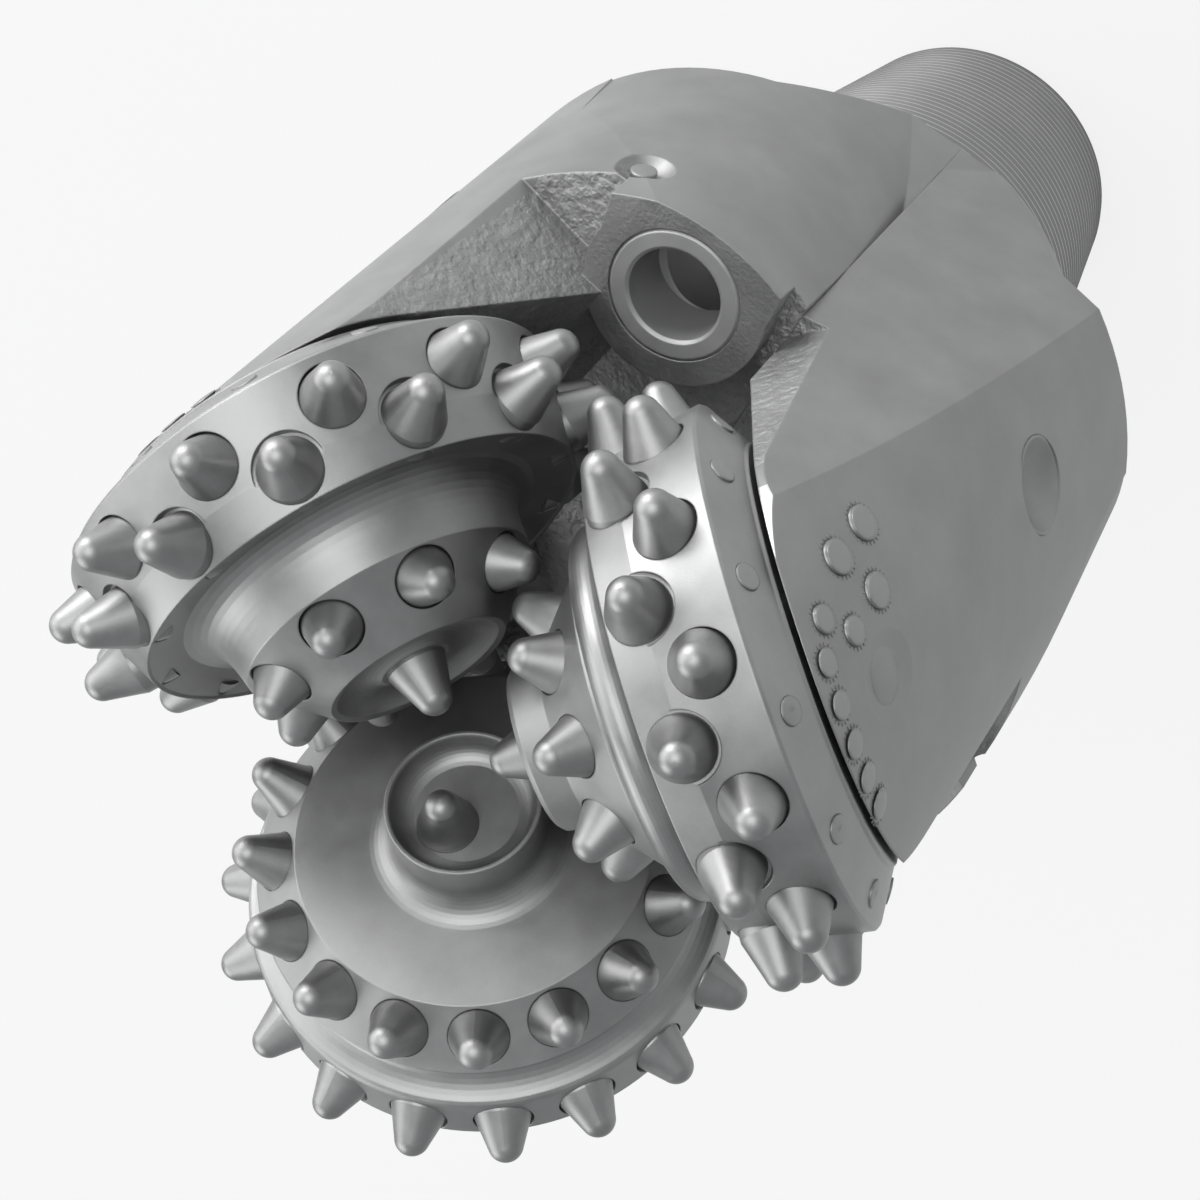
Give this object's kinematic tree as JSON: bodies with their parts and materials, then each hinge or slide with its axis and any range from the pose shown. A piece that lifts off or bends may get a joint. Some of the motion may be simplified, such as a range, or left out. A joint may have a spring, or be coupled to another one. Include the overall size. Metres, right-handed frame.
{
  "type": "tri-cone rock drill bit",
  "caption": "Rotary rock drill bit: rolling cones with pressed hardmetal inserts on legs welded into a threaded pin, with jet nozzles between the legs.",
  "frame": {"origin": "centre of the free end face of the threaded pin, on the bit axis, where the water bore opens", "axes": "+Z along the bit axis from the pin towards the cones; +X towards the leg that carries cone c"},
  "size_m": [0.1995, 0.2002, 0.386],
  "materials": {
    "leg_steel": "satin, blasted and machined",
    "cone_steel": "satin turned",
    "hardmetal": "satin sintered",
    "nozzle_carbide": "satin sintered",
    "nail_steel": "dark satin",
    "ball_steel": "polished",
    "bronze": "turned",
    "rubber": "matte"
  },
  "bodies": {
    "bit_body": {"leg_a": "leg_steel", "leg_b": "leg_steel", "leg_c": "leg_steel", "ball_plug_a": "leg_steel", "ball_plug_b": "leg_steel", "ball_plug_c": "leg_steel", "reservoir_cap_a": "leg_steel", "reservoir_cap_b": "leg_steel", "reservoir_cap_c": "leg_steel", "reservoir_diaphragm_a": "rubber", "reservoir_diaphragm_b": "rubber", "reservoir_diaphragm_c": "rubber", "shirttail_buttons_a": "hardmetal", "shirttail_buttons_b": "hardmetal", "shirttail_buttons_c": "hardmetal", "nozzle_a": "nozzle_carbide", "nozzle_b": "nozzle_carbide", "nozzle_c": "nozzle_carbide", "nozzle_seal_a": "rubber", "nozzle_seal_b": "rubber", "nozzle_seal_c": "rubber", "nozzle_nail_a": "nail_steel", "nozzle_nail_b": "nail_steel", "nozzle_nail_c": "nail_steel"},
    "cone_a": {"cone_a": "cone_steel", "gauge_buttons_a": "hardmetal", "heel_outer_inserts_a": "hardmetal", "heel_inner_inserts_a": "hardmetal", "inner_inserts_a": "hardmetal", "nose_insert_a": "hardmetal", "journal_bush_a": "bronze", "thrust_washer_a": "bronze", "retaining_balls_a": "ball_steel", "cone_seal_a": "rubber"},
    "cone_b": {"cone_b": "cone_steel", "gauge_buttons_b": "hardmetal", "heel_outer_inserts_b": "hardmetal", "heel_inner_inserts_b": "hardmetal", "inner_inserts_b": "hardmetal", "nose_insert_b": "hardmetal", "journal_bush_b": "bronze", "thrust_washer_b": "bronze", "retaining_balls_b": "ball_steel", "cone_seal_b": "rubber"},
    "cone_c": {"cone_c": "cone_steel", "gauge_buttons_c": "hardmetal", "outer_inserts_c": "hardmetal", "inner_inserts_c": "hardmetal", "nose_insert_c": "hardmetal", "journal_bush_c": "bronze", "thrust_washer_c": "bronze", "retaining_balls_c": "ball_steel", "cone_seal_c": "rubber"}
  },
  "joints": [
    {"name": "cone_a_spin", "type": "hinge", "parent": "bit_body", "child": "cone_a", "pos_m": [-0.00234, 0.00135, 0.349], "axis": [-0.4515, -0.782, -0.4297], "continuous": true},
    {"name": "cone_b_spin", "type": "hinge", "parent": "bit_body", "child": "cone_b", "pos_m": [0.00234, 0.00135, 0.349], "axis": [-0.4515, 0.782, -0.4297], "continuous": true},
    {"name": "cone_c_spin", "type": "hinge", "parent": "bit_body", "child": "cone_c", "pos_m": [0, -0.0027, 0.349], "axis": [0.903, 0, -0.4297], "continuous": true}
  ]
}
